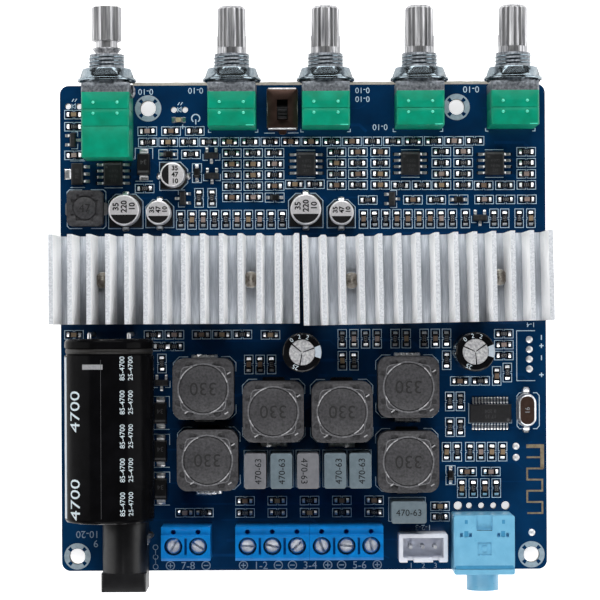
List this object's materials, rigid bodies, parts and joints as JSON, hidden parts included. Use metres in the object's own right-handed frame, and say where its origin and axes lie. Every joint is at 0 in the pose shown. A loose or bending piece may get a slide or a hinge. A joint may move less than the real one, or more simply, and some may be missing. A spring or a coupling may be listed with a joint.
{
  "type": "audio amplifier board",
  "caption": "Square blue amplifier circuit board with finned heatsinks, splined tone and volume controls, coils, capacitors, screw terminals and jacks.",
  "frame": {"origin": "on the board's underside, midway between the two front mounting holes", "axes": "+Z out of the component side, +Y from the connectors towards the control shafts, +X to the right seen from above with the shafts away from the viewer"},
  "size_m": [0.1008, 0.1188, 0.0217],
  "materials": {
    "solder_mask": "glossy dark blue solder mask over glass-fibre laminate",
    "solder": "shiny solder",
    "extruded_aluminium": "plain extruded",
    "turned_aluminium": "turned and knurled",
    "plated_steel": "nickel plated",
    "tinned_pins": "tin plated",
    "die_cast_zinc": "dull die cast",
    "wafer_green": "moulded green resin",
    "chip_epoxy": "moulded black epoxy",
    "silicone_pad": "soft grey pad",
    "black_plastic": "moulded black",
    "black_sleeve": "shrunk glossy sleeve",
    "can_aluminium": "drawn can",
    "ferrite": "pressed ferrite",
    "film_box": "moulded grey box",
    "terminal_blue": "moulded blue",
    "brass": "plated brass",
    "white_nylon": "moulded white",
    "jack_blue": "moulded light blue",
    "resistor_black": "glazed black ceramic chip",
    "chip_ceramic": "fired tan ceramic chip",
    "lamp_resin": "clear pale resin"
  },
  "bodies": {
    "board": {"circuit_board": "solder_mask", "solder_joints": "solder", "heatsink_left": "extruded_aluminium", "heatsink_right": "extruded_aluminium", "heatsink_screws": "plated_steel", "amplifier_chips": "chip_epoxy", "thermal_pads": "silicone_pad", "pot_fronts": "die_cast_zinc", "pot_washers": "plated_steel", "pot_nuts": "plated_steel", "pot_pins": "tinned_pins", "switch_shell": "plated_steel", "switch_base": "black_plastic", "switch_pins": "tinned_pins", "main_capacitor": "black_sleeve", "radial_capacitors": "black_sleeve", "capacitor_leads": "tinned_pins", "can_capacitor_bases": "black_plastic", "can_capacitors": "can_aluminium", "output_inductors": "ferrite", "small_inductor": "ferrite", "inductor_terminals": "tinned_pins", "film_capacitors": "film_box", "dc_terminal_housing": "terminal_blue", "left_output_housing": "terminal_blue", "right_output_housing": "terminal_blue", "terminal_clamps": "brass", "header_shroud": "white_nylon", "header_pins": "tinned_pins", "audio_jack_body": "jack_blue", "audio_jack_pins": "tinned_pins", "power_jack_body": "black_plastic", "power_jack_contacts": "tinned_pins", "signal_chips": "chip_epoxy", "crystal": "plated_steel", "chip_resistors": "resistor_black", "chip_capacitors": "chip_ceramic", "diodes": "chip_epoxy", "transistors": "chip_epoxy", "indicator_lamp": "lamp_resin", "volume_pot_housing": "wafer_green", "treble_pot_housing": "wafer_green", "level_pot_housing": "wafer_green", "crossover_pot_housing": "wafer_green", "bass_pot_housing": "wafer_green"},
    "volume_shaft": {"volume_shaft": "turned_aluminium"},
    "treble_shaft": {"treble_shaft": "turned_aluminium"},
    "level_shaft": {"level_shaft": "turned_aluminium"},
    "crossover_shaft": {"crossover_shaft": "turned_aluminium"},
    "bass_shaft": {"bass_shaft": "turned_aluminium"},
    "switch_slider": {"switch_slider": "black_plastic"},
    "dc_screw_1": {"dc_screw_1": "plated_steel"},
    "dc_screw_2": {"dc_screw_2": "plated_steel"},
    "output_screw_1": {"output_screw_1": "plated_steel"},
    "output_screw_2": {"output_screw_2": "plated_steel"},
    "output_screw_3": {"output_screw_3": "plated_steel"},
    "output_screw_4": {"output_screw_4": "plated_steel"},
    "output_screw_5": {"output_screw_5": "plated_steel"},
    "output_screw_6": {"output_screw_6": "plated_steel"}
  },
  "joints": [
    {"name": "volume_turn", "type": "hinge", "parent": "board", "child": "volume_shaft", "pos_m": [-0.0397, 0.0965, 0.0084], "axis": [0, 1, 0], "range_deg": [-150, 150]},
    {"name": "treble_turn", "type": "hinge", "parent": "board", "child": "treble_shaft", "pos_m": [-0.0143, 0.0965, 0.0084], "axis": [0, 1, 0], "range_deg": [-150, 150]},
    {"name": "level_turn", "type": "hinge", "parent": "board", "child": "level_shaft", "pos_m": [0.00475, 0.0965, 0.0084], "axis": [0, 1, 0], "range_deg": [-150, 150]},
    {"name": "crossover_turn", "type": "hinge", "parent": "board", "child": "crossover_shaft", "pos_m": [0.0238, 0.0965, 0.0084], "axis": [0, 1, 0], "range_deg": [-150, 150]},
    {"name": "bass_turn", "type": "hinge", "parent": "board", "child": "bass_shaft", "pos_m": [0.04285, 0.0965, 0.0084], "axis": [0, 1, 0], "range_deg": [-150, 150]},
    {"name": "switch_slide", "type": "slide", "parent": "board", "child": "switch_slider", "axis": [0, 1, 0], "range_m": [0, 0.002]},
    {"name": "dc_screw_1_turn", "type": "hinge", "parent": "board", "child": "dc_screw_1", "pos_m": [-0.0265, 0.0028, 0.008], "axis": [0, 0, 1], "range_deg": [-810, 810]},
    {"name": "dc_screw_2_turn", "type": "hinge", "parent": "board", "child": "dc_screw_2", "pos_m": [-0.0215, 0.0028, 0.008], "axis": [0, 0, 1], "range_deg": [-810, 810]},
    {"name": "output_screw_1_turn", "type": "hinge", "parent": "board", "child": "output_screw_1", "pos_m": [-0.0115, 0.0028, 0.008], "axis": [0, 0, 1], "range_deg": [-810, 810]},
    {"name": "output_screw_2_turn", "type": "hinge", "parent": "board", "child": "output_screw_2", "pos_m": [-0.0065, 0.0028, 0.008], "axis": [0, 0, 1], "range_deg": [-810, 810]},
    {"name": "output_screw_3_turn", "type": "hinge", "parent": "board", "child": "output_screw_3", "pos_m": [-0.0015, 0.0028, 0.008], "axis": [0, 0, 1], "range_deg": [-810, 810]},
    {"name": "output_screw_4_turn", "type": "hinge", "parent": "board", "child": "output_screw_4", "pos_m": [0.0035, 0.0028, 0.008], "axis": [0, 0, 1], "range_deg": [-810, 810]},
    {"name": "output_screw_5_turn", "type": "hinge", "parent": "board", "child": "output_screw_5", "pos_m": [0.0085, 0.0028, 0.008], "axis": [0, 0, 1], "range_deg": [-810, 810]},
    {"name": "output_screw_6_turn", "type": "hinge", "parent": "board", "child": "output_screw_6", "pos_m": [0.0135, 0.0028, 0.008], "axis": [0, 0, 1], "range_deg": [-810, 810]}
  ]
}
